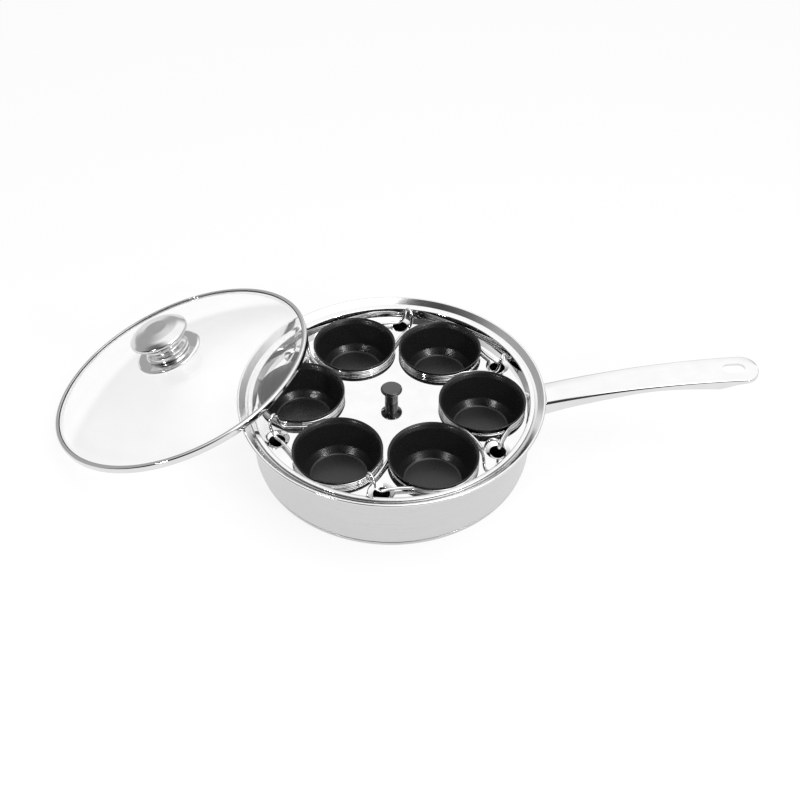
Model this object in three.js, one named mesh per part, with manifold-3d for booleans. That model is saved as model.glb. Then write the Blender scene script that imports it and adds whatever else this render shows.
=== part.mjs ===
// Stovetop egg poacher: a steel pan, a lift-out tray of wire-handled cups, and a glass lid that
// leans on the pan. Millimetres, +Z up. The origin is the centre of the pan's underside, and the
// long handle points along +X.
import * as THREE from 'three';
import { mergeVertices } from 'three/addons/utils/BufferGeometryUtils.js';
import Module from 'manifold-3d';

const wasm = await Module();
wasm.setup();

// Clearances
const seatGap = 0.3; // between a piece and what it rests on
const slipGap = 0.5; // round a piece that lifts out or slides in

// Cups: their rims drive the tray and the pan round them
const cupCount = 6;
const cupRimRadius = 37.8;
const cupFlare = 2.8; // how far the rim flares out over the wall
const cupDepth = 31.5;
const cupFloorRadius = 23;
const cupFillet = 8;
const cupTaper = 4.5;
const cupSheet = 1;
const cupSpacing = 3.3; // between neighbouring rims
const cupTurn = -4.5; // degrees from the handle to the first cup

// Wire handles
const wireRadius = 1.2;
const loopReach = 24.5; // from the ring to the loop's tip
const loopRise = 16.4;
const loopHalfWidth = 6.2;
const loopTurn = -82; // degrees from a cup's outward direction to its loop
const wireJoint = 0.6; // gap between the wire's two ends

// Tray
const traySheet = 0.9;
const trayDepth = 9;
const trayStepRun = 1.6;
const trayFloorMargin = 1.6; // from the cup rims to the step
const collarHeight = 1.2;
const flangeInset = 2.5; // from the lip's foot to the tray's edge
const ventRadius = 6.8;
const ventDip = 1.7; // how far a vent's dish sinks
const ventMargin = 4.7; // from a vent to the step

// Tray knob
const trayKnobRadius = 9.5;
const trayKnobHeight = 15.4;
const trayKnobNeckRadius = 5.8;
const trayKnobEdge = 2.6; // height of the rounded edge and crown
const trayScrewRadius = 1.8;
const trayScrewReach = 9; // into the knob
const trayScrewHeadRadius = 3.6;
const trayScrewHeadHeight = 1.8;
const trayWasherRadius = 6.5;
const trayWasherHeight = 0.8;

// Pan
const panHeight = 62;
const panSheet = 1.2;
const panCorner = 3;
const ledgeWidth = 5;
const ledgeRise = 1.5;
const lipWidth = 6.7;
const lipRise = 4.2;
const lipRound = 1.8;
const capSheet = 0.8;
const capCorner = 1.2;
const capInset = 1.2; // from the wall to the cap's side
const coreThickness = 2.4;

// Handle
const bracketSheet = 2;
const bracketWidth = 40;
const bracketHeight = 17;
const handleLength = 189; // from the wall to the tip
const handleRise = 31;
const handleRootWidth = 27;
const handleGripWidth = 31.5;
const handleSheet = 2.2;
const handleRootDepth = 15.5;
const handleWaistDepth = 5.8;
const handleGripDepth = 9.7;
const handleTipDepth = 4.6;
const handleTipRound = 14;
const slotLength = 19;
const slotWidth = 11.4;
const slotInset = 20.1; // from the tip to the slot's middle

// Lid
const lidRadius = 123.2;
const bandHeight = 6.5;
const bandWidth = 3.6;
const bandSheet = 0.9;
const bandRound = 0.8;
const glassThickness = 4;
const domeRise = 22.6;
const lidLowTurn = 167.9; // degrees from the handle to where the lid meets the table
const lidLipTurn = 200.3; // degrees from the handle to where the lid meets the lip
const lidLoopSlack = 0.7; // over the loop that carries the lid

// Lid knob
const roseRadius = 30.2;
const roseHeight = 2.2;
const lidKnobRadius = 27;
const lidKnobHeight = 26.3;
const lidKnobBossRadius = 20.3;
const lidKnobNeckRadius = 14;
const lidKnobCrown = 6;
const lidKnobEdge = 3;
const lidScrewRadius = 2.4;
const lidScrewReach = 10; // into the knob
const lidScrewHeadRadius = 5;
const lidScrewHeadHeight = 2.4;
const lidWasherRadius = 11;
const lidWasherHeight = 1.2;

// Facets
const wideSegments = 48;
const cupSegments = 20;
const smallSegments = 16;
const ventSegments = 12;
const knobSegments = 26;
const wireSides = 6;
const wireSteps = 42;

// Finishes
const polishedSteel = { color: 0xc8cacd, roughness: 0.12, metalness: 1 };
const satinSteel = { color: 0xb9bbbe, roughness: 0.34, metalness: 1 };
const castAluminium = { color: 0xa9abad, roughness: 0.5, metalness: 1 };
const nonstick = { color: 0x171717, roughness: 0.42, metalness: 0 };
const phenolic = { color: 0x101010, roughness: 0.3, metalness: 0 };
const clearGlass = { color: 0xeef3f2, roughness: 0.04, metalness: 0, transparent: true, opacity: 0.3 };
const silicone = { color: 0xd8d8d6, roughness: 0.6, metalness: 0 };

const poacher = new THREE.Group();
const radians = THREE.MathUtils.degToRad;
const up = new THREE.Vector3(0, 0, 1);

// Add a named piece with its own material
function addPiece(name, geometry, finish, parent = poacher) {
  const mesh = new THREE.Mesh(geometry, new THREE.MeshStandardMaterial(finish));
  mesh.name = name;
  parent.add(mesh);
  return mesh;
}

// Keep positions only, weld shared corners and drop triangles that have collapsed on the axis
function weld(geometry) {
  geometry.deleteAttribute('normal');
  geometry.deleteAttribute('uv');
  const welded = mergeVertices(geometry, 1e-4);
  const corners = welded.index.array;
  const kept = [];
  for (let i = 0; i < corners.length; i += 3) {
    const [a, b, c] = [corners[i], corners[i + 1], corners[i + 2]];
    if (a !== b && b !== c && c !== a) kept.push(a, b, c);
  }
  welded.setIndex(kept);
  return welded;
}

function toSolid(geometry) {
  const welded = weld(geometry);
  return new wasm.Manifold(new wasm.Mesh({
    numProp: 3,
    vertProperties: new Float32Array(welded.attributes.position.array),
    triVerts: new Uint32Array(welded.index.array),
  }));
}

function fromSolid(solid) {
  const mesh = solid.getMesh();
  const geometry = new THREE.BufferGeometry();
  geometry.setAttribute('position', new THREE.BufferAttribute(mesh.vertProperties, 3));
  geometry.setIndex(new THREE.BufferAttribute(mesh.triVerts, 1));
  return geometry;
}

// Revolve a radius and height profile, drawn from the bottom outwards and back, about the Z axis
function revolve(profile, segments, curveDivisions = 2) {
  const lathe = new THREE.LatheGeometry(profile.getPoints(curveDivisions), segments);
  return weld(lathe.rotateX(Math.PI / 2));
}

// A straight-sided plug standing on Z, for holes and collars
function plug(radius, bottom, top, segments) {
  const profile = new THREE.Path();
  profile.moveTo(0, bottom);
  profile.lineTo(radius, bottom);
  profile.lineTo(radius, top);
  profile.lineTo(0, top);
  return revolve(profile, segments);
}

// A flat washer standing on Z
function flatWasher(hole, radius, bottom, top) {
  const profile = new THREE.Path();
  profile.moveTo(hole, bottom);
  profile.lineTo(radius, bottom);
  profile.lineTo(radius, top);
  profile.lineTo(hole, top);
  profile.closePath();
  return revolve(profile, smallSegments);
}

// A round-headed screw that points up, with its head's flat side at headTop
function roundScrew(radius, headRadius, headBottom, headTop, end) {
  const profile = new THREE.Path();
  profile.moveTo(0, headBottom);
  profile.quadraticCurveTo(headRadius, headBottom, headRadius, headTop);
  profile.lineTo(radius, headTop);
  profile.lineTo(radius, end);
  profile.lineTo(0, end);
  return revolve(profile, smallSegments);
}

function polar(radius, angle, height) {
  return new THREE.Vector3(radius * Math.cos(angle), radius * Math.sin(angle), height);
}

// Shared radii and heights, from the cups outwards
const cupStep = (2 * Math.PI) / cupCount;
const cupPitch = (2 * cupRimRadius + cupSpacing) / (2 * Math.sin(cupStep / 2));
const cupWallRadius = cupRimRadius - cupFlare;
const ringRadius = cupWallRadius + seatGap + wireRadius;
const collarRadius = ringRadius - traySheet / 2;
const trayFloorRadius = cupPitch + cupRimRadius + trayFloorMargin;
const trayStepRadius = trayFloorRadius + trayStepRun;
const wallInner = trayStepRadius + traySheet + slipGap;
const wallOuter = wallInner + panSheet;
const ledgeRadius = wallInner + ledgeWidth;
const lipRadius = ledgeRadius + lipWidth;
const flangeRadius = ledgeRadius - flangeInset;
const ventPitch = trayFloorRadius - ventMargin - ventRadius;
const ventDishRadius = ventRadius + ventMargin - seatGap;

const coreBottom = capSheet + seatGap;
const panUnderside = coreBottom + coreThickness + seatGap;
const panFloor = panUnderside + panSheet;
const ledgeOuterTop = panHeight - lipRise;
const ledgeInnerTop = ledgeOuterTop - ledgeRise;
const flangeInnerTop = ledgeInnerTop + seatGap + traySheet;
const flangeOuterTop = flangeInnerTop + (ledgeRise * (flangeRadius - wallInner)) / ledgeWidth;
const trayFloor = flangeInnerTop - trayDepth;
const ringHeight = trayFloor + collarHeight + seatGap + wireRadius;
const cupFlareFoot = ringHeight + (wireRadius + seatGap) * (Math.SQRT2 - 1);
const cupRimTop = cupFlareFoot + cupFlare + cupSheet;
const cupFloor = cupRimTop - cupDepth;

const cupAngle = (index) => radians(cupTurn) + index * cupStep;
const loopAngle = (index) => cupAngle(index) + radians(loopTurn);

function buildPan() {
  const vessel = new THREE.Path();
  vessel.moveTo(0, panUnderside);
  vessel.lineTo(wallOuter - panCorner, panUnderside);
  vessel.quadraticCurveTo(wallOuter, panUnderside, wallOuter, panUnderside + panCorner);
  vessel.lineTo(wallOuter, ledgeInnerTop - panSheet);
  vessel.lineTo(ledgeRadius + panSheet / 2, ledgeOuterTop - panSheet);
  vessel.lineTo(lipRadius, panHeight - lipRound);
  vessel.quadraticCurveTo(lipRadius, panHeight, lipRadius - lipRound, panHeight);
  vessel.lineTo(ledgeRadius, ledgeOuterTop);
  vessel.lineTo(wallInner, ledgeInnerTop);
  vessel.lineTo(wallInner, panFloor + panCorner);
  vessel.quadraticCurveTo(wallInner, panFloor, wallInner - panCorner, panFloor);
  vessel.lineTo(0, panFloor);
  addPiece('pan_body', revolve(vessel, wideSegments), satinSteel);

  const capRadius = wallOuter - capInset;
  const capInner = capRadius - capSheet;
  const core = plug(capInner - slipGap, coreBottom, coreBottom + coreThickness, wideSegments);
  addPiece('base_core', core, castAluminium);

  const capTop = panUnderside - seatGap;
  const cap = new THREE.Path();
  cap.moveTo(0, 0);
  cap.lineTo(capRadius - capCorner, 0);
  cap.quadraticCurveTo(capRadius, 0, capRadius, capCorner);
  cap.lineTo(capRadius, capTop);
  cap.lineTo(capInner, capTop);
  cap.lineTo(capInner, capSheet);
  cap.lineTo(0, capSheet);
  addPiece('base_cap', revolve(cap, wideSegments), satinSteel);
}

const bracketInner = wallOuter + seatGap;
const bracketOuter = bracketInner + bracketSheet;
const bracketTop = ledgeInnerTop - panSheet - slipGap;

function buildBracket() {
  const halfAngle = Math.asin(bracketWidth / 2 / bracketOuter);
  const outline = new THREE.Shape();
  outline.absarc(0, 0, bracketOuter, -halfAngle, halfAngle, false);
  outline.absarc(0, 0, bracketInner, halfAngle, -halfAngle, true);
  const plate = new THREE.ExtrudeGeometry(outline, {
    depth: bracketHeight,
    bevelEnabled: false,
    curveSegments: 8,
  });
  plate.translate(0, 0, bracketTop - bracketHeight);
  addPiece('handle_bracket', weld(plate), satinSteel);
}

const handleTip = wallOuter + handleLength;
const handleTipTop = bracketTop + handleRise;

// Seen from above: a tapered bar with a rounded tip, drawn in by the given margin
function handlePlan(margin, root) {
  const tip = handleTip - margin;
  const round = handleTipRound - margin;
  const rootHalf = handleRootWidth / 2 - margin;
  const gripHalf = handleGripWidth / 2 - margin;
  const plan = new THREE.Shape();
  plan.moveTo(root, -rootHalf);
  plan.lineTo(tip - round, -gripHalf);
  plan.bezierCurveTo(tip - round / 3, -gripHalf, tip, -gripHalf / 2, tip, 0);
  plan.bezierCurveTo(tip, gripHalf / 2, tip - round / 3, gripHalf, tip - round, gripHalf);
  plan.lineTo(root, rootHalf);
  const tall = 2 * handleTipTop;
  return toSolid(new THREE.ExtrudeGeometry(plan, { depth: tall, bevelEnabled: false, curveSegments: 6 }));
}

// Seen from the side: an arched top, and a depth that is drawn in at the waist and at the tip
function handleSide(drop) {
  const arch = new THREE.QuadraticBezierCurve(
    new THREE.Vector2(wallOuter, bracketTop),
    new THREE.Vector2(wallOuter + 0.47 * handleLength, bracketTop + 0.83 * handleRise),
    new THREE.Vector2(handleTip, handleTipTop),
  );
  const below = (along, depth) => arch.getPoint(along).sub(new THREE.Vector2(0, depth));
  const tipHeel = below(0.93, handleTipDepth);
  const gripHeel = below(0.82, handleGripDepth);
  const side = new THREE.Shape();
  side.moveTo(wallOuter, bracketTop);
  side.quadraticCurveTo(arch.v1.x, arch.v1.y, handleTip, handleTipTop);
  side.lineTo(handleTip, handleTipTop - handleTipDepth);
  side.lineTo(tipHeel.x, tipHeel.y);
  side.lineTo(gripHeel.x, gripHeel.y);
  side.splineThru([below(0.5, handleWaistDepth), below(0, handleRootDepth)]);
  const width = 2 * handleGripWidth;
  const slab = new THREE.ExtrudeGeometry(side, { depth: width, bevelEnabled: false, curveSegments: 7 });
  slab.rotateX(Math.PI / 2);
  slab.translate(0, width / 2, -drop);
  return toSolid(slab);
}

// An arched channel, open below, that butts on the bracket and has a hanging slot near its tip
function buildHandle() {
  const outside = handlePlan(0, wallOuter).intersect(handleSide(0));
  const channelRoot = bracketOuter + seatGap + 2 * handleSheet;
  const channel = handlePlan(handleSheet, channelRoot).intersect(handleSide(handleSheet));
  const seat = plug(bracketOuter + seatGap, 0, panHeight, 2 * wideSegments);
  const slotStraight = (slotLength - slotWidth) / 2;
  const slot = new THREE.Shape();
  slot.absarc(slotStraight, 0, slotWidth / 2, -Math.PI / 2, Math.PI / 2, false);
  slot.absarc(-slotStraight, 0, slotWidth / 2, Math.PI / 2, 1.5 * Math.PI, false);
  const slotCut = new THREE.ExtrudeGeometry(slot, {
    depth: 2 * handleTipTop,
    bevelEnabled: false,
    curveSegments: 6,
  });
  slotCut.translate(handleTip - slotInset, 0, 0);
  const handle = outside.subtract(channel).subtract(toSolid(seat)).subtract(toSolid(slotCut));
  addPiece('handle', fromSolid(handle), polishedSteel);
}

// A stepped disc with raised collars round the cup holes and sunken dishes round the vents
function buildTray() {
  const under = trayFloor - traySheet;
  const sheet = new THREE.Path();
  sheet.moveTo(trayScrewRadius + slipGap, under);
  sheet.lineTo(trayFloorRadius + traySheet / 2, under);
  sheet.lineTo(trayStepRadius + traySheet, flangeInnerTop - traySheet);
  sheet.lineTo(flangeRadius, flangeOuterTop - traySheet);
  sheet.lineTo(flangeRadius, flangeOuterTop);
  sheet.lineTo(trayStepRadius, flangeInnerTop);
  sheet.lineTo(trayFloorRadius, trayFloor);
  sheet.lineTo(trayScrewRadius + slipGap, trayFloor);
  sheet.closePath();

  const collarOuter = collarRadius + traySheet;
  const collarTop = trayFloor + collarHeight;
  const collar = new THREE.Path();
  collar.moveTo(0, under + traySheet / 2);
  collar.lineTo(collarOuter, under + traySheet / 2);
  collar.lineTo(collarOuter, collarTop);
  collar.lineTo(0, collarTop);

  const dish = new THREE.Path();
  dish.moveTo(0, under - ventDip);
  dish.lineTo(ventRadius + traySheet / 2, under - ventDip);
  dish.lineTo(ventDishRadius, under);
  dish.lineTo(ventDishRadius, under + traySheet / 2);
  dish.lineTo(0, under + traySheet / 2);

  const vent = new THREE.Path();
  vent.moveTo(0, 0);
  vent.lineTo(ventRadius, 0);
  vent.lineTo(ventRadius, trayFloor - ventDip);
  vent.lineTo(ventDishRadius, trayFloor);
  vent.lineTo(ventDishRadius, panHeight);
  vent.lineTo(0, panHeight);

  let tray = toSolid(revolve(sheet, wideSegments));
  for (let i = 0; i < cupCount; i += 1) {
    const cupAt = polar(cupPitch, cupAngle(i), 0);
    const ventAt = polar(ventPitch, cupAngle(i) + cupStep / 2, 0);
    const raised = toSolid(revolve(collar, cupSegments)).translate(cupAt.toArray());
    const hole = toSolid(plug(collarRadius, 0, panHeight, cupSegments)).translate(cupAt.toArray());
    const sunk = toSolid(revolve(dish, ventSegments)).translate(ventAt.toArray());
    const bore = toSolid(revolve(vent, ventSegments)).translate(ventAt.toArray());
    tray = tray.add(raised).add(sunk).subtract(hole).subtract(bore);
  }
  addPiece('tray', fromSolid(tray), polishedSteel);
}

function buildTrayKnob() {
  const bottom = trayFloor + seatGap;
  const top = bottom + trayKnobHeight;
  const edge = top - trayKnobEdge;
  const shoulder = edge - 0.9 * (trayKnobRadius - trayKnobNeckRadius);
  const boreTop = bottom + trayScrewReach + slipGap;
  const boreRadius = trayScrewRadius + seatGap;
  const knob = new THREE.Path();
  knob.moveTo(0, boreTop);
  knob.lineTo(boreRadius, boreTop);
  knob.lineTo(boreRadius, bottom);
  knob.lineTo(trayKnobNeckRadius, bottom);
  knob.lineTo(trayKnobNeckRadius, shoulder);
  knob.lineTo(trayKnobRadius - 0.5, edge - 0.5);
  knob.quadraticCurveTo(trayKnobRadius, edge, trayKnobRadius - 0.5, edge + trayKnobEdge / 2);
  knob.quadraticCurveTo(trayKnobRadius - 1.5, top, 0, top);
  addPiece('tray_knob', revolve(knob, smallSegments), phenolic);

  const washerTop = trayFloor - traySheet - seatGap;
  const washerBottom = washerTop - trayWasherHeight;
  const washer = flatWasher(boreRadius, trayWasherRadius, washerBottom, washerTop);
  addPiece('tray_knob_washer', washer, satinSteel);

  const headTop = washerBottom - seatGap;
  const headBottom = headTop - trayScrewHeadHeight;
  const end = bottom + trayScrewReach;
  const screw = roundScrew(trayScrewRadius, trayScrewHeadRadius, headBottom, headTop, end);
  addPiece('tray_knob_screw', screw, satinSteel);
}

// A round cup with a flared rim, a tapered wall and a filleted flat floor
function cupProfile() {
  const wallTop = cupWallRadius;
  const wallFoot = wallTop - cupTaper;
  const bend = cupFloor + cupFillet;
  const flareTop = cupFlareFoot + cupFlare;
  const innerFoot = cupFlareFoot + cupSheet * (Math.SQRT2 - 1);
  const profile = new THREE.Path();
  profile.moveTo(0, cupFloor - cupSheet);
  profile.lineTo(cupFloorRadius, cupFloor - cupSheet);
  profile.quadraticCurveTo(wallFoot - 1, cupFloor - cupSheet, wallFoot, bend);
  profile.lineTo(wallTop, cupFlareFoot);
  profile.lineTo(cupRimRadius, flareTop);
  profile.lineTo(cupRimRadius, cupRimTop - cupSheet / 3);
  profile.lineTo(cupRimRadius - cupSheet / 3, cupRimTop);
  profile.lineTo(wallTop - cupSheet, innerFoot);
  profile.lineTo(wallFoot - cupSheet, bend);
  profile.quadraticCurveTo(wallFoot - 1 - cupSheet, cupFloor, cupFloorRadius - cupSheet, cupFloor);
  profile.lineTo(0, cupFloor);
  return profile;
}

// The wire's centre line for one cup: round the cup, out along one leg, over the loop and back
function wirePath(centre, direction) {
  const along = polar(1, direction, 0);
  const across = up.clone().cross(along);
  const place = (u, v, rise) => centre.clone()
    .addScaledVector(along, u)
    .addScaledVector(across, v)
    .setZ(ringHeight + rise);
  const tip = ringRadius + loopReach;
  const legStart = radians(32);
  const butt = wireJoint / 2 / ringRadius;
  const arcSteps = 9;
  const half = [];
  for (let i = 0; i <= arcSteps; i += 1) {
    const turn = Math.PI - butt - ((Math.PI - butt - legStart) * i) / arcSteps;
    half.push([ringRadius * Math.cos(turn), ringRadius * Math.sin(turn), 0]);
  }
  const legRoot = ringRadius * Math.sin(legStart);
  half.push([ringRadius + 0.06 * loopReach, loopHalfWidth + 0.66 * (legRoot - loopHalfWidth), 0]);
  half.push([ringRadius + 0.42 * loopReach, loopHalfWidth + 0.3 * (legRoot - loopHalfWidth), 0]);
  half.push([ringRadius + 0.78 * loopReach, loopHalfWidth + 0.04 * (legRoot - loopHalfWidth), 0]);
  half.push([ringRadius + 0.93 * loopReach, 0.96 * loopHalfWidth, 0.25 * loopRise]);
  half.push([ringRadius + 0.98 * loopReach, 0.86 * loopHalfWidth, 0.61 * loopRise]);
  half.push([tip, 0.58 * loopHalfWidth, 0.89 * loopRise]);
  const back = half.map(([u, v, rise]) => [u, -v, rise]).reverse();
  const points = [...half, [tip, 0, loopRise], ...back].map((p) => place(...p));
  return new THREE.CatmullRomCurve3(points, false, 'centripetal');
}

function buildCups() {
  const section = new THREE.Shape();
  section.absarc(0, 0, wireRadius, 0, 2 * Math.PI, false);
  for (let i = 0; i < cupCount; i += 1) {
    const centre = polar(cupPitch, cupAngle(i), 0);
    const cup = addPiece(`cup_${i + 1}`, revolve(cupProfile(), cupSegments), nonstick);
    cup.position.copy(centre);
    const wire = new THREE.ExtrudeGeometry(section, {
      steps: wireSteps,
      curveSegments: wireSides / 2,
      extrudePath: wirePath(centre, loopAngle(i)),
    });
    addPiece(`cup_wire_${i + 1}`, weld(wire), polishedSteel);
  }
}

// The loop that the lid leans on belongs to the cup nearest to the lid's low side
function lidLoopTop() {
  const index = Math.round((radians(lidLowTurn) - cupAngle(0)) / cupStep) % cupCount;
  const tip = polar(ringRadius + loopReach, loopAngle(index), 0);
  return polar(cupPitch, cupAngle(index), ringHeight + loopRise + wireRadius + lidLoopSlack).add(tip);
}

// The lid's plane through its three rests: the table, the lip and the loop
function leanAt(lowReach) {
  const onTable = polar(lowReach, radians(lidLowTurn), seatGap);
  const onLip = polar(lipRadius - lipRound, radians(lidLipTurn), panHeight + seatGap);
  const toLip = onLip.clone().sub(onTable);
  const toLoop = lidLoopTop().sub(onTable);
  const normal = toLip.cross(toLoop).normalize();
  if (normal.z < 0) normal.negate();
  const uphill = up.clone().projectOnPlane(normal).normalize();
  const centre = onTable.addScaledVector(uphill, lidRadius);
  return { centre, uphill, normal, lipReach: centre.distanceTo(onLip) };
}

// Slide the lid out until its band's inner edge stands over the lip
function leanLid() {
  const wanted = lidRadius - bandWidth - slipGap;
  let near = lipRadius;
  let far = lipRadius + 3 * lidRadius;
  for (let i = 0; i < 50; i += 1) {
    const middle = (near + far) / 2;
    if (leanAt(middle).lipReach < wanted) near = middle;
    else far = middle;
  }
  return leanAt((near + far) / 2);
}

function buildLid() {
  const lid = new THREE.Group();
  const { centre, uphill, normal } = leanLid();
  const basis = new THREE.Matrix4().makeBasis(uphill, normal.clone().cross(uphill), normal);
  lid.quaternion.setFromRotationMatrix(basis);
  lid.position.copy(centre);
  poacher.add(lid);

  const inner = lidRadius - bandWidth;
  const grooveRadius = lidRadius - bandSheet;
  const band = new THREE.Path();
  band.moveTo(inner, 0);
  band.lineTo(lidRadius - bandRound, 0);
  band.lineTo(lidRadius, bandRound);
  band.lineTo(lidRadius, bandHeight - bandRound);
  band.lineTo(lidRadius - bandRound, bandHeight);
  band.lineTo(inner, bandHeight);
  band.lineTo(inner, bandHeight - bandSheet);
  band.lineTo(grooveRadius, bandHeight - bandSheet);
  band.lineTo(grooveRadius, bandSheet);
  band.lineTo(inner, bandSheet);
  band.closePath();
  addPiece('lid_band', revolve(band, wideSegments), polishedSteel, lid);

  const glassRadius = grooveRadius - seatGap;
  const glassBottom = bandHeight / 2 - glassThickness / 2;
  const glassRim = inner - slipGap;
  const boreRadius = lidScrewRadius + slipGap;
  const apexUnder = glassBottom + domeRise;
  const apexTop = apexUnder + glassThickness;
  const flatRadius = lidWasherRadius + slipGap;
  const bendRadius = (flatRadius + glassRim) / 2;
  const glass = new THREE.Path();
  glass.moveTo(boreRadius, apexUnder);
  glass.lineTo(flatRadius, apexUnder);
  glass.quadraticCurveTo(bendRadius, apexUnder, glassRim, glassBottom);
  glass.lineTo(glassRadius, glassBottom);
  glass.lineTo(glassRadius, glassBottom + glassThickness);
  glass.lineTo(glassRim, glassBottom + glassThickness);
  glass.quadraticCurveTo(bendRadius, apexTop, flatRadius, apexTop);
  glass.lineTo(boreRadius, apexTop);
  glass.closePath();
  addPiece('lid_glass', revolve(glass, wideSegments, 4), clearGlass, lid);

  buildLidKnob(lid, apexUnder, apexTop);
}

function buildLidKnob(lid, glassUnder, glassTop) {
  const roseBottom = glassTop + seatGap;
  const roseTop = roseBottom + roseHeight;
  const rose = new THREE.Path();
  rose.moveTo(lidScrewRadius + slipGap, roseBottom);
  rose.lineTo(roseRadius - 1, roseBottom);
  rose.quadraticCurveTo(roseRadius, roseBottom, roseRadius, roseBottom + roseHeight / 2);
  rose.quadraticCurveTo(roseRadius, roseTop, roseRadius - 2, roseTop);
  rose.lineTo(lidScrewRadius + slipGap, roseTop);
  rose.closePath();
  addPiece('lid_knob_base', revolve(rose, knobSegments), polishedSteel, lid);

  const bottom = roseTop + seatGap;
  const top = bottom + lidKnobHeight;
  const edgeTop = top - lidKnobCrown;
  const edgeBottom = edgeTop - lidKnobEdge;
  const boreTop = bottom + lidScrewReach + slipGap;
  const boreRadius = lidScrewRadius + seatGap;
  const bossTop = bottom + lidKnobHeight / 6;
  const discRadius = (lidKnobBossRadius + lidKnobRadius) / 2;
  const knob = new THREE.Path();
  knob.moveTo(0, boreTop);
  knob.lineTo(boreRadius, boreTop);
  knob.lineTo(boreRadius, bottom);
  knob.lineTo(lidKnobBossRadius, bottom);
  knob.lineTo(lidKnobBossRadius, bossTop);
  knob.quadraticCurveTo(lidKnobNeckRadius, bossTop + 1, lidKnobNeckRadius, 2 * bossTop - bottom);
  knob.quadraticCurveTo(lidKnobNeckRadius, edgeBottom - 3, discRadius - 1, edgeBottom - 3);
  knob.lineTo(discRadius, edgeBottom - 2);
  knob.lineTo(discRadius, edgeBottom - 0.6);
  knob.lineTo(lidKnobRadius - 1.5, edgeBottom);
  knob.quadraticCurveTo(lidKnobRadius, edgeBottom, lidKnobRadius, edgeTop - 1);
  knob.quadraticCurveTo(lidKnobRadius - 3, top, 0, top);
  addPiece('lid_knob', revolve(knob, knobSegments), polishedSteel, lid);

  const washerTop = glassUnder - seatGap;
  const washerBottom = washerTop - lidWasherHeight;
  const washer = flatWasher(boreRadius, lidWasherRadius, washerBottom, washerTop);
  addPiece('lid_washer', washer, silicone, lid);

  const headTop = washerBottom - seatGap;
  const headBottom = headTop - lidScrewHeadHeight;
  const end = bottom + lidScrewReach;
  const screw = roundScrew(lidScrewRadius, lidScrewHeadRadius, headBottom, headTop, end);
  addPiece('lid_screw', screw, satinSteel, lid);
}

buildPan();
buildBracket();
buildHandle();
buildTray();
buildTrayKnob();
buildCups();
buildLid();

export default poacher;
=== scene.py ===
"""Looks of the stovetop egg poacher: its smooth shapes and its finishes.

Shapes are drawn in millimetres and stored in metres, +Z up, long handle along +X.
"""

import math

import bpy
from mathutils import Matrix, Vector


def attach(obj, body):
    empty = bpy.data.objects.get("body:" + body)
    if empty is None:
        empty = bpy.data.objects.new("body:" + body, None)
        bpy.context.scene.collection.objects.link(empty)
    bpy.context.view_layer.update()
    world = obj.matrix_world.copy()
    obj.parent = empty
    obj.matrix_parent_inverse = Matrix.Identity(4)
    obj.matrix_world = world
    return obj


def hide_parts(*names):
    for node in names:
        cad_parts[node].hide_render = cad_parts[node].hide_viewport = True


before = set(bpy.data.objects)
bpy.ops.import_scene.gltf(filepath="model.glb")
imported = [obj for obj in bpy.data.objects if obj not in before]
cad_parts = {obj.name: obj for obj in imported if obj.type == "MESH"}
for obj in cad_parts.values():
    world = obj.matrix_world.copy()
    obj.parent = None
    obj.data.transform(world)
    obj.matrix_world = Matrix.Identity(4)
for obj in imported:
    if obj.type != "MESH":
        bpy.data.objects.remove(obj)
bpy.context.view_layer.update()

MM = 0.001

# Sides of round shapes
LARGE_ROUND = 192
MIDDLE_ROUND = 96
SMALL_ROUND = 48
LID_ROUND = 224

# Cups and wires
CUP_COUNT = 6
CUP_STEP = 2 * math.pi / CUP_COUNT
CUP_TURN = math.radians(-4.5)
CUP_PITCH = 78.9
CUP_RIM = 37.8
CUP_WALL = 35.0
CUP_FLOOR = 24.12
CUP_SHEET = 1.0
CUP_FLARE_FOOT = 51.82
CUP_FLARE_TOP = 54.62
CUP_RIM_TOP = 55.62
WIRE_RADIUS = 1.35
WIRE_SIDES = 14
RING_RADIUS = 36.5
RING_HEIGHT = 51.2
RING_BUTT = 0.3
RING_STEPS = 9
LEG_TURN = math.radians(32)
LOOP_REACH = 24.5
LOOP_RISE = 16.4
LOOP_HALF = 6.2
LOOP_TURN = math.radians(-82)
BEND_STEPS = 5

# Tray
TRAY_FLOOR = 48.5
TRAY_UNDER = 47.6
TRAY_EDGE = 118.2
TRAY_RIM = 123.8
TRAY_KNOB_HOLE = 2.3
TRAY_KNOB_LOW = 48.8
COLLAR = 36.05
COLLAR_SHEET = 0.9
COLLAR_TOP = TRAY_FLOOR + 1.2
VENT = 6.8
VENT_PITCH = 106.8
VENT_DISH = 11.2
VENT_DIP = 1.7
VENT_ROUND = 40

# Pan
BASE_EDGE = 121.3
BASE_TOP = 3.5
BASE_SHEET = 0.8
CORE_EDGE = 120.0
CORE_LOW = 1.1
PAN_UNDER = 3.8
PAN_FLOOR = 5.0
PAN_BEND = 3.0
PAN_TOP = 62.0
WALL_IN = 121.3
WALL_OUT = 122.5
WALL_TOP = 54.5
LIP = 133.0

# Handle, its hanging slot and the plate it is welded to
ROOT = 125.1
TIP = 311.5
TIP_ROUND = 14
TIP_POWER = 2.3
HANDLE_TOP = 54.6
HANDLE_RISE = 31.0
HANDLE_HALF = 13.5
HANDLE_SPREAD = 2.25
HANDLE_SHEET = 2.2
CROWN_RISE = 0.5
CROWN_ROUND = 8
CHANNEL_START = 0.04
CHANNEL_END = TIP - 2.3
CHANNEL_DROP = 30
SLOT_AT = 291.4
SLOT_HALF = 3.8
SLOT_ROUND = 5.7
PLATE_IN = 122.8
PLATE_OUT = 124.8
PLATE_LOW = 37.6
PLATE_TOP = 54.6
PLATE_HALF = 20
PLATE_STEPS = 24

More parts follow.
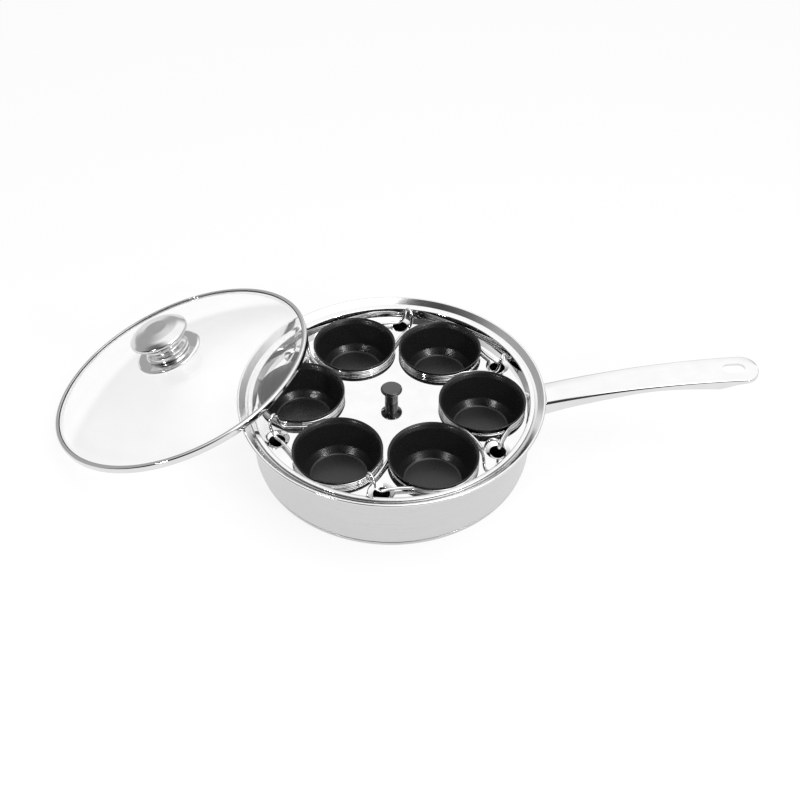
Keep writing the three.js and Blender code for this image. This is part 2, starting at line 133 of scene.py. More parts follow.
# Lid, as it leans on the lip, on one loop and on the table
LID_RADIUS = 123.2
LID_CENTRE = Vector((-191.8461, 48.3017, 36.8066))
LID_UPHILL = Vector((0.944143, -0.144181, 0.296319))
LID_NORMAL = Vector((-0.292924, 0.044733, 0.955089))
LID_ACROSS = LID_NORMAL.cross(LID_UPHILL)
LID_AXES = Matrix((LID_UPHILL, LID_ACROSS, LID_NORMAL)).transposed()
LID_PLACE = Matrix.Translation(LID_CENTRE) @ LID_AXES.to_4x4()
BAND_IN = 119.6
BAND_TOP = 6.5
BAND_SHEET = 0.9
GLASS_LOW = 1.25
GLASS_RISE = 22.6
GLASS_SHEET = 4.0
GLASS_RIM = 119.1
GLASS_EDGE = 122.0
GLASS_FLAT = 11.5
GLASS_STEPS = 24
LID_HOLE = 2.9
ROSE_LOW = 28.15
ROSE_RISE = 2.2
ROSE_EDGE = 30.2
LID_KNOB_LOW = ROSE_LOW + 2.5

# Studio, in metres
RELIEF_DEPTH = 0.0002
FLOOR_HALF = 3.0
LAMP_AIM = Vector((0, 0, 0.05))
EYE = Vector((0, -0.6363, 0.6416))
EYE_AIM = Vector((0, 0, 0.061))
EYE_ROLL = math.radians(-0.325)


# Shape helpers

def rounded(corners, loop=False, steps=5):
    """Turns corners (across, up, radius) into points, with an arc at each corner that has a radius."""
    points = []
    count = len(corners)
    for i, corner in enumerate(corners):
        here = Vector(corner[:2])
        radius = corner[2] if len(corner) > 2 else 0
        if radius == 0 or (not loop and i in (0, count - 1)):
            points.append(here)
            continue
        before = Vector(corners[i - 1][:2]) - here
        after = Vector(corners[(i + 1) % count][:2]) - here
        half = before.angle(after) / 2
        run = min(radius / math.tan(half), 0.49 * before.length, 0.49 * after.length)
        radius = run * math.tan(half)
        start = before.normalized() * run
        end = after.normalized() * run
        centre = (start + end).normalized() * (radius / math.sin(half))
        first = math.atan2(*(start - centre).yx)
        turn = (math.atan2(*(end - centre).yx) - first + math.pi) % (2 * math.pi) - math.pi
        for k in range(steps + 1):
            angle = first + turn * k / steps
            points.append(here + centre + Vector((math.cos(angle), math.sin(angle))) * radius)
    return points


def bezier(a, b, c, steps):
    """Points along a quadratic curve, without the first one."""
    points = []
    for k in range(1, steps + 1):
        t = k / steps
        points.append(Vector(a) * (1 - t) ** 2 + Vector(b) * (2 * t * (1 - t)) + Vector(c) * t * t)
    return points


def revolve(profile, segments, loop=False):
    """Turns a profile, drawn from below outwards and back, about the Z axis."""
    verts = []
    rows = []
    for radius, up in profile:
        if radius < 1e-6:
            rows.append([len(verts)] * segments)
            verts.append(Vector((0, 0, up)))
            continue
        rows.append(list(range(len(verts), len(verts) + segments)))
        for j in range(segments):
            angle = 2 * math.pi * j / segments
            verts.append(Vector((radius * math.cos(angle), radius * math.sin(angle), up)))
    faces = []
    pairs = list(zip(rows, rows[1:]))
    if loop:
        pairs.append((rows[-1], rows[0]))
    for low, high in pairs:
        for j in range(segments):
            k = (j + 1) % segments
            corners = [low[j], low[k], high[k], high[j]]
            face = [v for i, v in enumerate(corners) if v not in corners[:i]]
            if len(face) > 2:
                faces.append(face)
    return verts, faces


def loft(sections):
    """Joins rings of points of equal count and closes both ends."""
    size = len(sections[0])
    verts = [Vector(p) for ring in sections for p in ring]
    faces = []
    for i in range(len(sections) - 1):
        for j in range(size):
            k = (j + 1) % size
            faces.append([i * size + j, i * size + k, (i + 1) * size + k, (i + 1) * size + j])
    faces.append(list(reversed(range(size))))
    faces.append(list(range((len(sections) - 1) * size, len(sections) * size)))
    return verts, faces


def sweep(path, radius, sides):
    """A round wire along a path of points."""
    tangent = (path[1] - path[0]).normalized()
    side = tangent.orthogonal().normalized()
    angles = [2 * math.pi * k / sides for k in range(sides)]
    rings = []
    for i, point in enumerate(path):
        ahead = path[min(i + 1, len(path) - 1)]
        behind = path[max(i - 1, 0)]
        turned = (ahead - behind).normalized()
        side = tangent.rotation_difference(turned) @ side
        tangent = turned
        other = tangent.cross(side)
        rings.append([point + (side * math.cos(a) + other * math.sin(a)) * radius for a in angles])
    return loft(rings)


def smooth_path(points, steps):
    """A curve through points, evenly eased by the square root of their spacing."""
    ends = [2 * points[0] - points[1], *points, 2 * points[-1] - points[-2]]
    path = []
    for p0, p1, p2, p3 in zip(ends, ends[1:], ends[2:], ends[3:]):
        t1 = math.sqrt((p1 - p0).length)
        t2 = t1 + math.sqrt((p2 - p1).length)
        t3 = t2 + math.sqrt((p3 - p2).length)
        for k in range(steps):
            t = t1 + (t2 - t1) * k / steps
            a1 = p0.lerp(p1, t / t1)
            a2 = p1.lerp(p2, (t - t1) / (t2 - t1))
            a3 = p2.lerp(p3, (t - t2) / (t3 - t2))
            b1 = a1.lerp(a2, t / t2)
            b2 = a2.lerp(a3, (t - t1) / (t3 - t1))
            path.append(b1.lerp(b2, (t - t1) / (t2 - t1)))
    path.append(points[-1])
    return path


def moved(shape, place):
    """A shape put in another place."""
    verts, faces = shape
    return [place @ v for v in verts], faces


def joined(*shapes):
    """Several shapes as one."""
    verts = []
    faces = []
    for some_verts, some_faces in shapes:
        base = len(verts)
        verts += some_verts
        faces += [[base + v for v in face] for face in some_faces]
    return verts, faces


def smoothed(mesh, sharp):
    """Shades a mesh smoothly, with edges kept sharp above an angle in degrees."""
    mesh.polygons.foreach_set("use_smooth", [True] * len(mesh.polygons))
    mesh.set_sharp_from_angle(angle=math.radians(sharp))


def make(name, shape, sharp=38):
    """A smooth object in metres from a shape in millimetres."""
    verts, faces = shape
    mesh = bpy.data.meshes.new(name)
    mesh.from_pydata([v * MM for v in verts], [], faces)
    smoothed(mesh, sharp)
    obj = bpy.data.objects.new(name, mesh)
    bpy.context.scene.collection.objects.link(obj)
    return obj


def show(obj, body, node, material):
    """Puts a finished piece on its body, in place of the plain solid."""
    obj.data.materials.clear()
    obj.data.materials.append(material)
    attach(obj, body)
    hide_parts(node)
    return obj


def carved(obj, *cutters, sharp=32):
    """Takes the cutters' space out of an object."""
    for cutter in cutters:
        cut = obj.modifiers.new("cut", "BOOLEAN")
        cut.operation = "DIFFERENCE"
        cut.solver = "EXACT"
        cut.object = cutter
    graph = bpy.context.evaluated_depsgraph_get()
    mesh = bpy.data.meshes.new_from_object(obj.evaluated_get(graph))
    obj.modifiers.clear()
    obj.data = mesh
    for cutter in cutters:
        bpy.data.objects.remove(cutter)
    smoothed(mesh, sharp)


def polar(radius, angle, up=0.0):
    """A point at a radius and an angle about the Z axis."""
    return Vector((radius * math.cos(angle), radius * math.sin(angle), up))


# Finishes

def finish(name, colours, roughness, metallic, grain, bump, stretch=(1, 1, 1), **sockets):
    """A procedural finish: two colours and two roughnesses mixed by grain, and a fine relief."""
    material = bpy.data.materials.new(name)
    material.use_nodes = True
    nodes = material.node_tree.nodes
    links = material.node_tree.links
    shader = nodes["Principled BSDF"]
    shader.inputs["Metallic"].default_value = metallic
    for socket, value in sockets.items():
        shader.inputs[socket.replace("_", " ")].default_value = value
    where = nodes.new("ShaderNodeTexCoord")
    mapping = nodes.new("ShaderNodeMapping")
    mapping.inputs["Scale"].default_value = stretch
    links.new(where.outputs["Object"], mapping.inputs["Vector"])
    noise = nodes.new("ShaderNodeTexNoise")
    noise.inputs["Scale"].default_value = grain
    noise.inputs["Detail"].default_value = 4
    links.new(mapping.outputs["Vector"], noise.inputs["Vector"])
    ramp = nodes.new("ShaderNodeValToRGB")
    ramp.color_ramp.elements[0].position = 0.3
    ramp.color_ramp.elements[1].position = 0.7
    ramp.color_ramp.elements[0].color = (*colours[0], 1)
    ramp.color_ramp.elements[1].color = (*colours[1], 1)
    links.new(noise.outputs["Fac"], ramp.inputs["Fac"])
    links.new(ramp.outputs["Color"], shader.inputs["Base Color"])
    spread = nodes.new("ShaderNodeMapRange")
    spread.inputs["From Min"].default_value = 0.3
    spread.inputs["From Max"].default_value = 0.7
    spread.inputs["To Min"].default_value = roughness[0]
    spread.inputs["To Max"].default_value = roughness[1]
    links.new(noise.outputs["Fac"], spread.inputs["Value"])
    links.new(spread.outputs["Result"], shader.inputs["Roughness"])
    relief = nodes.new("ShaderNodeBump")
    relief.inputs["Strength"].default_value = bump
    relief.inputs["Distance"].default_value = RELIEF_DEPTH
    links.new(noise.outputs["Fac"], relief.inputs["Height"])
    links.new(relief.outputs["Normal"], shader.inputs["Normal"])
    return material


def grey(low, high):
    """Two greys, dark and light."""
    return ((low,) * 3, (high,) * 3)


SATIN = finish("satin_steel", grey(0.62, 0.66), (0.27, 0.33), 1, 30, 0.04, (1, 1, 40))
POLISHED = finish("polished_steel", grey(0.72, 0.76), (0.04, 0.07), 1, 60, 0.01)
LIP_STEEL = finish("lip_steel", grey(0.70, 0.75), (0.12, 0.17), 1, 60, 0.01)
KNOB_STEEL = finish("knob_steel", grey(0.68, 0.72), (0.14, 0.19), 1, 60, 0.01)
BRIGHT_WIRE = finish("polished_wire", grey(0.72, 0.76), (0.06, 0.10), 1, 300, 0.01)
MACHINED = finish("base_steel", grey(0.56, 0.64), (0.28, 0.38), 1, 60, 0.06, (1, 1, 8))
ALUMINIUM = finish("core_aluminium", grey(0.50, 0.58), (0.42, 0.55), 1, 120, 0.10)
NONSTICK = finish("nonstick_black", grey(0.007, 0.014), (0.22, 0.34), 0, 1400, 0.20)
PHENOLIC = finish("black_phenolic", grey(0.006, 0.010), (0.14, 0.20), 0, 400, 0.02, Specular_IOR_Level=1.0)
GLASS = finish(
    "clear_glass", grey(0.97, 0.99), (0.0, 0.01), 0, 40, 0.0,
    Transmission_Weight=1.0, IOR=1.5, Coat_Weight=0.2,
)
# Near-black ring finish: painted shade, standing in for the shadowed gap and dark reflection along the lid
# band's inner edge
GAP_SHADE = finish("painted_gap_shade", grey(0.012, 0.020), (0.4, 0.5), 0, 300, 0.05)
SILICONE = finish("silicone", grey(0.60, 0.70), (0.5, 0.6), 0, 300, 0.08)


# Pan

def build_pan():
    vessel = rounded([
        (0, PAN_UNDER), (WALL_OUT, PAN_UNDER, PAN_BEND), (WALL_OUT, WALL_TOP),
        (WALL_IN, WALL_TOP), (WALL_IN, PAN_FLOOR, PAN_BEND), (0, PAN_FLOOR),
    ])
    show(make("pan_vessel", revolve(vessel, LARGE_ROUND)), "pan", "pan_body", SATIN)
    lip = rounded([
        (WALL_OUT, WALL_TOP), (WALL_OUT, 55.1, 0.8), (126.9, 56.6, 1.0), (LIP, 60.2, 0.6),
        (LIP, PAN_TOP, 1.2),
        (LIP - 1.8, PAN_TOP, 0.6), (126.3, 57.8, 0.6), (WALL_IN, 56.3, 0.7), (WALL_IN, WALL_TOP),
    ], loop=True)
    show(make("pan_lip", revolve(lip, LARGE_ROUND, True)), "pan", "pan_body", LIP_STEEL)
    cap = rounded([
        (0, 0), (BASE_EDGE, 0, 1.2), (BASE_EDGE, BASE_TOP, 0.3), (BASE_EDGE - BASE_SHEET, BASE_TOP, 0.3),
        (BASE_EDGE - BASE_SHEET, BASE_SHEET, 0.4), (0, BASE_SHEET),
    ])
    show(make("pan_base_cap", revolve(cap, LARGE_ROUND)), "pan", "base_cap", MACHINED)
    core = rounded([(0, CORE_LOW), (CORE_EDGE, CORE_LOW, 0.3), (CORE_EDGE, BASE_TOP, 0.3), (0, BASE_TOP)])
    show(make("pan_base_core", revolve(core, MIDDLE_ROUND)), "pan", "base_core", ALUMINIUM)


def arch(t):
    """The handle's top line, from the wall to the tip."""
    a = Vector((WALL_OUT, HANDLE_TOP))
    b = Vector((WALL_OUT + 0.47 * (TIP - WALL_OUT), HANDLE_TOP + 0.83 * HANDLE_RISE))
    c = Vector((TIP, HANDLE_TOP + HANDLE_RISE))
    return a * (1 - t) ** 2 + b * (2 * t * (1 - t)) + c * t * t


def eased(stations, t):
    """A smooth value through stations (place, value)."""
    padded = [stations[0], *stations, stations[-1]]
    for (ta, va), (t0, v0), (t1, v1), (tb, vb) in zip(padded, padded[1:], padded[2:], padded[3:]):
        if t <= t1:
            run = t1 - t0
            s = (t - t0) / run
            enter = run * (v1 - va) / (t1 - ta)
            leave = run * (vb - v0) / (tb - t0)
            bend = s * (1 - s) * ((1 - s) * (enter - v1 + v0) - s * (leave - v1 + v0))
            return v0 + (v1 - v0) * s + bend
    return stations[-1][1]


HANDLE_DEPTH = (
    (0, 15.4), (0.13, 11.9), (0.31, 8.9), (0.5, 6.1), (0.58, 5.9), (0.68, 6.9), (0.76, 8.3), (0.82, 9.5),
    (0.84, 9.4), (0.92, 5.2), (1, 4.5),
)
HANDLE_EDGE = ((0, 3.4), (0.3, 2.8), (0.5, 2.0), (0.75, 1.5), (1, 1.6))


def handle_section(t, margin):
    """A ring of points round the handle at one place along it, drawn in by a margin."""
    top = arch(t)
    tip = TIP - margin
    along = min(top.x, tip - 0.02)
    start = TIP - TIP_ROUND
    half = HANDLE_HALF + HANDLE_SPREAD * min(1, (along - WALL_OUT) / (start - WALL_OUT)) - margin
    if along > start:
        half *= max(1e-4, 1 - ((along - start) / (tip - start)) ** TIP_POWER) ** (1 / TIP_POWER)
    depth = eased(HANDLE_DEPTH, t)
    edge = min(eased(HANDLE_EDGE, t), 0.9 * half)
    up = top.y - margin
    low = top.y - depth - (CHANNEL_DROP if margin else 0)
    foot = min(0.8, 0.5 * half)
    outline = rounded([
        (-half, low, foot), (half, low, foot), (half, up - CROWN_RISE, edge), (0.25 * half, up, CROWN_ROUND),
        (-0.25 * half, up, CROWN_ROUND), (-half, up - CROWN_RISE, edge),
    ], loop=True, steps=6)
    return [Vector((along, p.x, p.y)) for p in outline]


def build_handle():
    # Places along the bar lie closer together towards the tip
    places = [i / 60 for i in range(56)]
    places += [0.93 + 0.07 * math.sin(i / 20 * math.pi / 2) for i in range(21)]
    body = make("handle_bar", loft([handle_section(t, 0) for t in places]))
    inner = [t for t in places if CHANNEL_START < t and arch(t).x < CHANNEL_END]
    channel = make("handle_channel", loft([handle_section(t, HANDLE_SHEET) for t in inner]))
    seat = make("handle_seat", revolve([(0, 0), (ROOT, 0), (ROOT, 70), (0, 70)], 256))
    ends = [polar(SLOT_ROUND, math.radians(-90 + 10 * k)) + Vector((SLOT_HALF, 0, 0)) for k in range(19)]
    ends += [polar(SLOT_ROUND, math.radians(90 + 10 * k)) - Vector((SLOT_HALF, 0, 0)) for k in range(19)]
    place = Vector((SLOT_AT, 0, 0))
    slot = make("handle_slot", loft([[p + place + Vector((0, 0, up)) for p in ends] for up in (60, 110)]))
    carved(body, channel, seat, slot)
    show(body, "pan", "handle", POLISHED)
    half = math.asin(PLATE_HALF / PLATE_OUT)
    ring = rounded([
        (PLATE_IN, PLATE_LOW, 0.4), (PLATE_OUT, PLATE_LOW, 0.8), (PLATE_OUT, PLATE_TOP, 0.8),
        (PLATE_IN, PLATE_TOP, 0.4),
    ], loop=True)
    sections = []
    for k in range(PLATE_STEPS + 1):
        angle = half * (2 * k / PLATE_STEPS - 1)
        sections.append([polar(p.x, angle, p.y) for p in ring])
    show(make("handle_weld_plate", loft(sections)), "pan", "handle_bracket", SATIN)


# Tray

def flat_plate(up, outer, holes, flip):
    """A flat sheet face with round holes."""
    curve = bpy.data.curves.new("sheet", "CURVE")
    curve.dimensions = "2D"
    curve.fill_mode = "BOTH"
    for centre, radius, segments in [(Vector((0, 0, 0)), outer, LARGE_ROUND), *holes]:
        spline = curve.splines.new("POLY")
        spline.points.add(segments - 1)
        spline.use_cyclic_u = True
        for j, point in enumerate(spline.points):
            place = centre + polar(radius, 2 * math.pi * j / segments)
            point.co = (place.x, place.y, 0, 1)
    obj = bpy.data.objects.new("sheet", curve)
    bpy.context.scene.collection.objects.link(obj)
    graph = bpy.context.evaluated_depsgraph_get()
    mesh = bpy.data.meshes.new_from_object(obj.evaluated_get(graph))
    verts = [Vector((v.co.x, v.co.y, up)) for v in mesh.vertices]
    faces = []
    for polygon in mesh.polygons:
        corners = list(polygon.vertices)
        faces.append(corners if (polygon.normal.z > 0) != flip else corners[::-1])
    bpy.data.objects.remove(obj)
    return verts, faces


def build_tray():
    collar_foot = COLLAR + 1.7
    vent_foot = VENT_DISH + 0.05
    holes = [(Vector((0, 0, 0)), TRAY_KNOB_HOLE, 32)]
    parts = []
    collar = rounded([
        (collar_foot, TRAY_FLOOR), (COLLAR + COLLAR_SHEET, TRAY_FLOOR, 0.5),
        (COLLAR + COLLAR_SHEET, COLLAR_TOP, 0.4), (COLLAR, COLLAR_TOP, 0.4), (COLLAR, TRAY_UNDER, 0.2),
        (collar_foot, TRAY_UNDER),
    ])
    vent = rounded([
        (vent_foot, TRAY_FLOOR), (VENT_DISH - 0.5, TRAY_FLOOR, 1.0), (VENT, TRAY_FLOOR - VENT_DIP, 0.5),
        (VENT, TRAY_UNDER - VENT_DIP, 0.2), (VENT + 0.45, TRAY_UNDER - VENT_DIP, 0.2),
        (VENT_DISH - 0.5, TRAY_UNDER, 1.0), (vent_foot, TRAY_UNDER),
    ])
    for i in range(CUP_COUNT):
        at = polar(CUP_PITCH, CUP_TURN + i * CUP_STEP)
        holes.append((at, collar_foot, MIDDLE_ROUND))
        parts.append(moved(revolve(collar, MIDDLE_ROUND), Matrix.Translation(at)))
        at = polar(VENT_PITCH, CUP_TURN + (i + 0.5) * CUP_STEP)
        holes.append((at, vent_foot, VENT_ROUND))
        parts.append(moved(revolve(vent, VENT_ROUND), Matrix.Translation(at)))
    rim = rounded([
        (TRAY_EDGE, TRAY_UNDER), (118.75, TRAY_UNDER, 1.4), (120.8, 56.6, 0.9), (TRAY_RIM, 57.35, 0.3),
        (TRAY_RIM, 58.25, 0.3), (119.9, 57.5, 0.9), (118.3, TRAY_FLOOR, 0.2), (TRAY_EDGE, TRAY_FLOOR),
    ])
    parts.append(revolve(rim, LARGE_ROUND))
    parts.append(flat_plate(TRAY_FLOOR, TRAY_EDGE, holes, False))
    parts.append(flat_plate(TRAY_UNDER, TRAY_EDGE, holes, True))
    show(make("tray_plate", joined(*parts), 50), "tray", "tray", POLISHED)


def washer(hole, radius, low, high):
    """A flat ring with softened outer edges."""
    profile = rounded([(hole, low), (radius, low, 0.2), (radius, high, 0.2), (hole, high)])
    return revolve(profile, SMALL_ROUND, loop=True)


def screw(radius, head, head_low, head_high, end):
    """A shank above a round head, with a round recess in the head's lower face."""
    profile = rounded([
        (0, head_low + 0.7), (0.3 * head, head_low + 0.7, 0.1), (0.4 * head, head_low + 0.1, 0.2),
        (0.86 * head, head_low + 0.4, 1.0), (head, head_high, 0.2), (radius, head_high),
        (radius, end, 0.3), (0, end),
    ])
    return revolve(profile, SMALL_ROUND)


def build_tray_knob():
    low = TRAY_KNOB_LOW
    knob = rounded([
        (0, low + 9.5), (2.1, low + 9.5), (2.1, low), (5.8, low, 0.2), (5.8, low + 9.4, 1.0),
        (9.3, low + 12.5, 1.0), (9.4, low + 14.0, 0.9), (8.2, low + 15.1, 1.4), (0, low + 15.4),
    ], steps=7)
    show(make("tray_grip", revolve(knob, 64), 30), "tray", "tray_knob", PHENOLIC)
    ring = make("tray_grip_washer", washer(hole=2.1, radius=6.5, low=46.5, high=47.3))
    show(ring, "tray", "tray_knob_washer", MACHINED)
    bolt = make("tray_grip_screw", screw(radius=1.8, head=3.6, head_low=44.4, head_high=46.2, end=57.8))
    show(bolt, "tray", "tray_knob_screw", MACHINED)


# Cups

def wire_path(centre, direction):
    """Round the cup, out along one leg, over the loop and back."""
    along = polar(1, direction)
    across = Vector((0, 0, 1)).cross(along)
    butt = RING_BUTT / RING_RADIUS
    half = []
    for i in range(RING_STEPS + 1):
        turn = math.pi - butt - (math.pi - butt - LEG_TURN) * i / RING_STEPS
        half.append((RING_RADIUS * math.cos(turn), RING_RADIUS * math.sin(turn), 0))
    spare = RING_RADIUS * math.sin(LEG_TURN) - LOOP_HALF
    half.append((RING_RADIUS + 0.06 * LOOP_REACH, LOOP_HALF + 0.66 * spare, 0))
    half.append((RING_RADIUS + 0.42 * LOOP_REACH, LOOP_HALF + 0.30 * spare, 0))
    half.append((RING_RADIUS + 0.78 * LOOP_REACH, LOOP_HALF + 0.04 * spare, 0))
    half.append((RING_RADIUS + 0.93 * LOOP_REACH, 0.96 * LOOP_HALF, 0.25 * LOOP_RISE))
    half.append((RING_RADIUS + 0.98 * LOOP_REACH, 0.86 * LOOP_HALF, 0.61 * LOOP_RISE))
    half.append((RING_RADIUS + LOOP_REACH, 0.58 * LOOP_HALF, 0.89 * LOOP_RISE))
    back = [(u, -v, rise) for u, v, rise in reversed(half)]
    bends = []
    for u, v, rise in [*half, (RING_RADIUS + LOOP_REACH, 0, LOOP_RISE), *back]:
        bends.append(centre + along * u + across * v + Vector((0, 0, RING_HEIGHT + rise)))
    return smooth_path(bends, BEND_STEPS)


def build_cups():
    profile = rounded([
        (0, CUP_FLOOR - CUP_SHEET), (28.7, CUP_FLOOR - CUP_SHEET, 7.5), (CUP_WALL, CUP_FLARE_FOOT, 0.8),
        (CUP_RIM, CUP_FLARE_TOP, 0.3), (CUP_RIM, CUP_RIM_TOP - 0.2, 0.35), (CUP_RIM - 0.5, CUP_RIM_TOP, 0.3),
        (CUP_WALL + 0.7, CUP_FLARE_FOOT + 2.3, 3.0), (CUP_WALL - 0.95, CUP_FLARE_FOOT - 0.9, 6.0),
        (29.3, CUP_FLOOR + 6.5, 4.0), (24.6, CUP_FLOOR, 2.5), (0, CUP_FLOOR),
    ], steps=8)
    for i in range(CUP_COUNT):
        angle = CUP_TURN + i * CUP_STEP
        at = polar(CUP_PITCH, angle)
        name = f"cup_{i + 1}"
        cup = make(name + "_bowl", moved(revolve(profile, MIDDLE_ROUND), Matrix.Translation(at)))
        show(cup, name, name, NONSTICK)
        wire = make(name + "_wire", sweep(wire_path(at, angle + LOOP_TURN), WIRE_RADIUS, WIRE_SIDES))
        show(wire, name, f"cup_wire_{i + 1}", BRIGHT_WIRE)


# Lid

def lid_piece(name, profile, segments, node, material, loop=False):
    """A turned piece of the leaning lid."""
    obj = make(name, moved(revolve(profile, segments, loop), LID_PLACE), 34)
    return show(obj, "lid", node, material)


def build_lid():
    band = rounded([
        (BAND_IN, 0, 0.3), (LID_RADIUS, 0, 1.5), (LID_RADIUS, BAND_TOP, 1.5), (BAND_IN, BAND_TOP, 0.3),
        (BAND_IN, BAND_TOP - BAND_SHEET, 0.3), (LID_RADIUS - BAND_SHEET, BAND_TOP - BAND_SHEET, 0.3),
        (LID_RADIUS - BAND_SHEET, BAND_SHEET, 0.3), (BAND_IN, BAND_SHEET, 0.3),
    ], loop=True)
    lid_piece("lid_rim", band, LID_ROUND, "lid_band", POLISHED, True)
    # A thin near-black ring where the band meets the glass, drawn as a seal: painted shade for the shadowed
    # gap and the dark reflection there
    gap_shade_ring = rounded([(118.7, 5.1, 0.2), (120.2, 5.1), (120.2, 5.9), (118.9, 5.8, 0.3)], loop=True)
    lid_piece("lid_painted_gap_shade", gap_shade_ring, LID_ROUND, "lid_band", GAP_SHADE, True)
    apex = GLASS_LOW + GLASS_RISE
    bend = (GLASS_FLAT + GLASS_RIM) / 2
    under = [Vector((LID_HOLE, apex)), Vector((GLASS_FLAT, apex))]
    under += bezier((GLASS_FLAT, apex), (bend, apex), (GLASS_RIM, GLASS_LOW), GLASS_STEPS)
    over = [p + Vector((0, GLASS_SHEET)) for p in reversed(under)]
    edge = [Vector((GLASS_EDGE, GLASS_LOW)), Vector((GLASS_EDGE, GLASS_LOW + GLASS_SHEET))]
    dome = lid_piece("lid_dome", [*under, *edge, *over], LID_ROUND, "lid_glass", GLASS, True)
    dome.visible_shadow = False
    dome.visible_diffuse = False

    rose = rounded([
        (LID_HOLE, ROSE_LOW), (ROSE_EDGE, ROSE_LOW, 0.8), (ROSE_EDGE, ROSE_LOW + 1.3, 0.8),
        (28.0, ROSE_LOW + ROSE_RISE, 1.6), (LID_HOLE, ROSE_LOW + ROSE_RISE),
    ], loop=True)
    lid_piece("lid_rose", rose, MIDDLE_ROUND, "lid_knob_base", POLISHED, True)
    low = LID_KNOB_LOW
    knob = rounded([
        (0, low + 10.5), (2.7, low + 10.5), (2.7, low), (20.3, low, 0.6), (20.3, low + 1.2, 0.5),
        (19.4, low + 1.8, 0.3), (19.0, low + 4.3, 0.8), (14.4, low + 6.2, 2.5), (14.0, low + 13.0, 3.5),
        (22.6, low + 14.4, 0.8), (23.4, low + 16.6, 0.5), (25.5, low + 17.3, 0.6), (27.0, low + 18.4, 1.2),
        (26.8, low + 20.6, 3.0), (21.3, low + 24.3, 12.0), (10.0, low + 26.1, 16.0), (0, low + 26.3),
    ], steps=8)
    lid_piece("lid_grip", knob, 128, "lid_knob", KNOB_STEEL)
    ring = washer(hole=2.7, radius=11, low=22.35, high=23.55)
    pad = make("lid_pad", moved(ring, LID_PLACE))
    show(pad, "lid", "lid_washer", SILICONE)
    shank = screw(radius=2.4, head=5, head_low=19.65, head_high=22.05, end=40.65)
    bolt = make("lid_bolt", moved(shank, LID_PLACE))
    show(bolt, "lid", "lid_screw", MACHINED)


# Studio

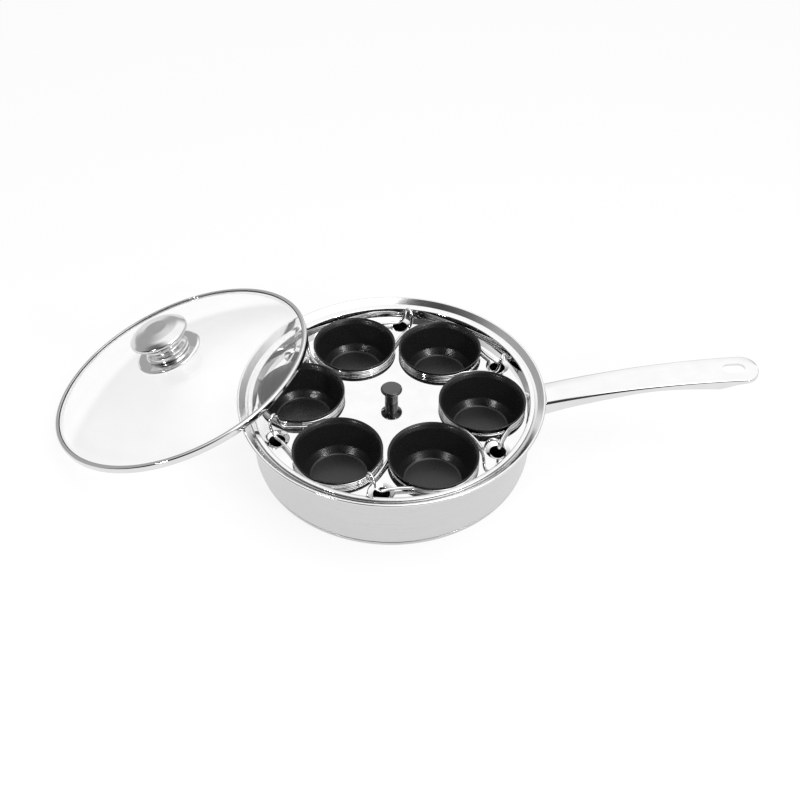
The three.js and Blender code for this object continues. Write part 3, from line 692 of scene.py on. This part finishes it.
def build_studio():
    scene = bpy.context.scene
    half = FLOOR_HALF / MM
    corners = [Vector((x * half, y * half, 0)) for x, y in ((-1, -1), (1, -1), (1, 1), (-1, 1))]
    floor = make("floor", (corners, [[0, 1, 2, 3]]))
    floor.data.materials.append(floor_finish())

    world = bpy.data.worlds.new("studio")
    scene.world = world
    world.use_nodes = True
    nodes = world.node_tree.nodes
    links = world.node_tree.links
    where = nodes.new("ShaderNodeTexCoord")

    def zone(axis, edge, core, outside, inside):
        """A soft round patch of the surroundings, by the cosine of the angle from its axis."""
        toward = nodes.new("ShaderNodeVectorMath")
        toward.operation = "DOT_PRODUCT"
        toward.inputs[1].default_value = Vector(axis).normalized()
        links.new(where.outputs["Generated"], toward.inputs[0])
        level = nodes.new("ShaderNodeMapRange")
        level.interpolation_type = "SMOOTHSTEP"
        level.inputs["From Min"].default_value = edge
        level.inputs["From Max"].default_value = core
        level.inputs["To Min"].default_value = outside
        level.inputs["To Max"].default_value = inside
        links.new(toward.outputs["Value"], level.inputs["Value"])
        return level.outputs["Result"]

    def combine(operation, first, second):
        """Two levels joined into one."""
        node = nodes.new("ShaderNodeMath")
        node.operation = operation
        links.new(first, node.inputs[0])
        links.new(second, node.inputs[1])
        return node.outputs["Value"]

    overhead = zone((0.10, 0.45, 0.89), 0.64, 0.90, 0.48, 1.30)
    right_side = zone((0.70, -0.20, 0.69), 0.70, 0.94, 0.0, 1.15)
    dark_side = zone((-0.45, -0.62, 0.64), 0.68, 0.96, 1.0, 0.13)
    dark_front = zone((-0.15, -0.97, 0.18), 0.78, 0.95, 1.0, 0.25)
    dark_corner = zone((-0.75, -0.64, 0.15), 0.80, 0.96, 1.0, 0.10)
    low_down = zone((0, 0, 1), 0.08, 0.26, 1.0, 0.0)
    backdrop = zone((0, 1, 0), 0.0, 0.4, 0.0, 1.0)
    softbox = combine("MAXIMUM", overhead, right_side)
    dark_low = combine("MULTIPLY", dark_front, dark_corner)
    room = combine("MULTIPLY", softbox, combine("MULTIPLY", dark_side, dark_low))
    level = combine("MAXIMUM", room, combine("MULTIPLY", low_down, backdrop))
    light = nodes["Background"]
    light.inputs["Color"].default_value = (1, 1, 1, 1)
    links.new(level, light.inputs["Strength"])
    plain = nodes.new("ShaderNodeBackground")
    plain.inputs["Color"].default_value = (1, 1, 1, 1)
    plain.inputs["Strength"].default_value = 1.0
    path = nodes.new("ShaderNodeLightPath")
    choose = nodes.new("ShaderNodeMixShader")
    links.new(path.outputs["Is Camera Ray"], choose.inputs["Fac"])
    links.new(light.outputs["Background"], choose.inputs[1])
    links.new(plain.outputs["Background"], choose.inputs[2])
    links.new(choose.outputs["Shader"], nodes["World Output"].inputs["Surface"])

    for name, place, size, power in (
        ("key", (0.40, -0.28, 1.25), 0.9, 5),
        ("right_front", (0.74, -0.72, 0.62), 0.12, 3),
        ("left_front", (-0.72, -0.78, 0.60), 0.12, 3),
    ):
        lamp = bpy.data.lights.new(name, "AREA")
        lamp.size = size
        lamp.energy = power
        obj = bpy.data.objects.new(name, lamp)
        obj.location = place
        obj.rotation_euler = (LAMP_AIM - Vector(place)).to_track_quat("-Z", "Y").to_euler()
        scene.collection.objects.link(obj)

    camera = bpy.data.cameras.new("photo_view")
    camera.sensor_width = 36
    camera.lens = 44.74
    camera.shift_x = 0.0107
    camera.shift_y = -0.0121
    camera.clip_start = 0.01
    eye = bpy.data.objects.new("photo_view", camera)
    eye.location = EYE
    aim = (EYE_AIM - eye.location).to_track_quat("-Z", "Y").to_matrix()
    eye.rotation_euler = (aim @ Matrix.Rotation(EYE_ROLL, 3, "Z")).to_euler()
    scene.collection.objects.link(eye)
    scene.camera = eye
    scene.view_settings.view_transform = "Standard"


def floor_finish():
    """White to the eye and in reflections, with a faint part of the plain floor and its shadows left in."""
    material = bpy.data.materials.new("studio_floor")
    material.use_nodes = True
    nodes = material.node_tree.nodes
    links = material.node_tree.links
    shader = nodes["Principled BSDF"]
    shader.inputs["Base Color"].default_value = (0.92, 0.92, 0.92, 1)
    shader.inputs["Roughness"].default_value = 0.9
    shader.inputs["Specular IOR Level"].default_value = 0.0
    white = nodes.new("ShaderNodeEmission")
    white.inputs["Color"].default_value = (1, 1, 1, 1)
    white.inputs["Strength"].default_value = 1.0
    shaded = nodes.new("ShaderNodeMixShader")
    shaded.inputs["Fac"].default_value = 0.15
    links.new(white.outputs["Emission"], shaded.inputs[1])
    links.new(shader.outputs["BSDF"], shaded.inputs[2])
    path = nodes.new("ShaderNodeLightPath")
    direct = nodes.new("ShaderNodeMath")
    direct.operation = "MAXIMUM"
    links.new(path.outputs["Is Camera Ray"], direct.inputs[0])
    links.new(path.outputs["Is Glossy Ray"], direct.inputs[1])
    seen = nodes.new("ShaderNodeMath")
    seen.operation = "MAXIMUM"
    links.new(direct.outputs["Value"], seen.inputs[0])
    links.new(path.outputs["Is Transmission Ray"], seen.inputs[1])
    choose = nodes.new("ShaderNodeMixShader")
    links.new(seen.outputs["Value"], choose.inputs["Fac"])
    links.new(shader.outputs["BSDF"], choose.inputs[1])
    links.new(shaded.outputs["Shader"], choose.inputs[2])
    links.new(choose.outputs["Shader"], nodes["Material Output"].inputs["Surface"])
    return material


build_pan()
build_handle()
build_tray()
build_tray_knob()
build_cups()
build_lid()
build_studio()
